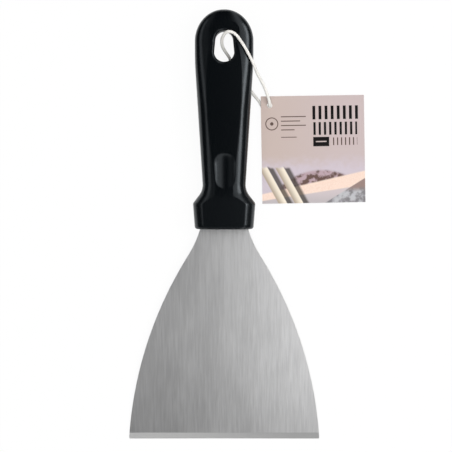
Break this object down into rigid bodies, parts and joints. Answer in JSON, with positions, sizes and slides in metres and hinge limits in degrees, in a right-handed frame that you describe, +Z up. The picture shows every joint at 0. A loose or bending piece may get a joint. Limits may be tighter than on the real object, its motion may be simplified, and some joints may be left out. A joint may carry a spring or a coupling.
{
  "type": "triangular scraper",
  "caption": "Flared steel scraper blade, wide and ground at its edge, tanged into a waisted black plastic handle with a thumb dimple and a hanging eye, with a card tag tied on by string.",
  "frame": {"origin": "middle of the scraper's footprint on the table it lies on, at the height of the table; the string, the knot and the tag are not counted", "axes": "+Y from the cutting edge to the hanging eye, +Z up out of the front face, +X to the right seen from the front"},
  "size_m": [0.1243, 0.2237, 0.0221],
  "materials": {
    "steel": "stainless steel with a fine brushed grain along the tool, and a brighter ground bevel across the edge",
    "handle_plastic": "satin black moulded polypropylene, slightly grained, a little bluish in highlights",
    "string": "cream twisted cotton string",
    "card": null
  },
  "bodies": {
    "scraper": {"blade": "steel", "handle": "handle_plastic", "string": "string", "knot": "string"},
    "tag": {"tag": "card"}
  },
  "joints": [
    {"name": "tag_turn", "type": "hinge", "parent": "scraper", "child": "tag", "pos_m": [0.0238, 0.0632, 0.0026], "axis": [0, 0, 1], "range_deg": [-5, 90]}
  ]
}
